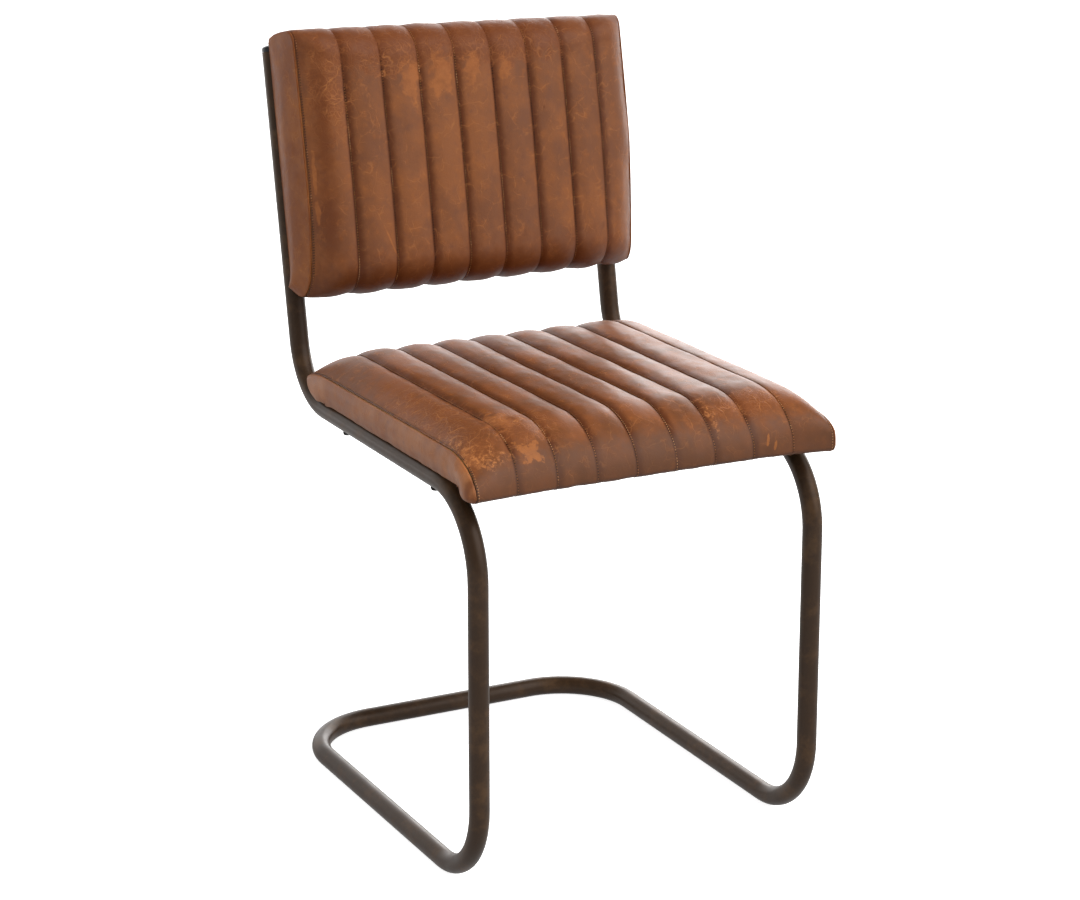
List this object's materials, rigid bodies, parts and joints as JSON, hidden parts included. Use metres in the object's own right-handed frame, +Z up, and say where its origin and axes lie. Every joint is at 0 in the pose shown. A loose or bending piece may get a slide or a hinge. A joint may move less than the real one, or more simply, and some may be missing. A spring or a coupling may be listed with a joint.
{
  "type": "cantilever dining chair",
  "caption": "Armless cantilever dining chair: a bent steel tube frame carries a seat and a back padded in channel-stitched leather.",
  "frame": {"origin": "on the floor, under the middle of the chair's bounding box", "axes": "+Z up; +X to the sitter's left; +Y from the front of the seat to the back"},
  "size_m": [0.4232, 0.5564, 0.8508],
  "materials": {
    "frame_steel": "dark bronze lacquer, rubbed, satin",
    "leather": "waxed cognac leather, worn",
    "foam": "open-cell cushion foam",
    "plywood": "bare plywood",
    "lining": "thin black lining cloth",
    "black_plastic": "moulded, satin",
    "fastener_steel": "blackened"
  },
  "bodies": {
    "root": {"frame_tube": "frame_steel", "end_plug_right": "black_plastic", "end_plug_left": "black_plastic", "seat_top_cover": "leather", "seat_side_band_right": "leather", "seat_side_band_left": "leather", "seat_foam": "foam", "seat_board": "plywood", "seat_lining": "lining", "seat_bolt_right_front": "fastener_steel", "seat_bolt_left_front": "fastener_steel", "seat_bolt_right_rear": "fastener_steel", "seat_bolt_left_rear": "fastener_steel", "seat_insert_right_front": "fastener_steel", "seat_insert_left_front": "fastener_steel", "seat_insert_right_rear": "fastener_steel", "seat_insert_left_rear": "fastener_steel", "back_front_cover": "leather", "back_side_band_right": "leather", "back_side_band_left": "leather", "back_foam": "foam", "back_board": "plywood", "back_rear_panel": "leather", "back_screw_right_low": "fastener_steel", "back_screw_left_low": "fastener_steel", "back_screw_right_high": "fastener_steel", "back_screw_left_high": "fastener_steel"}
  },
  "joints": []
}
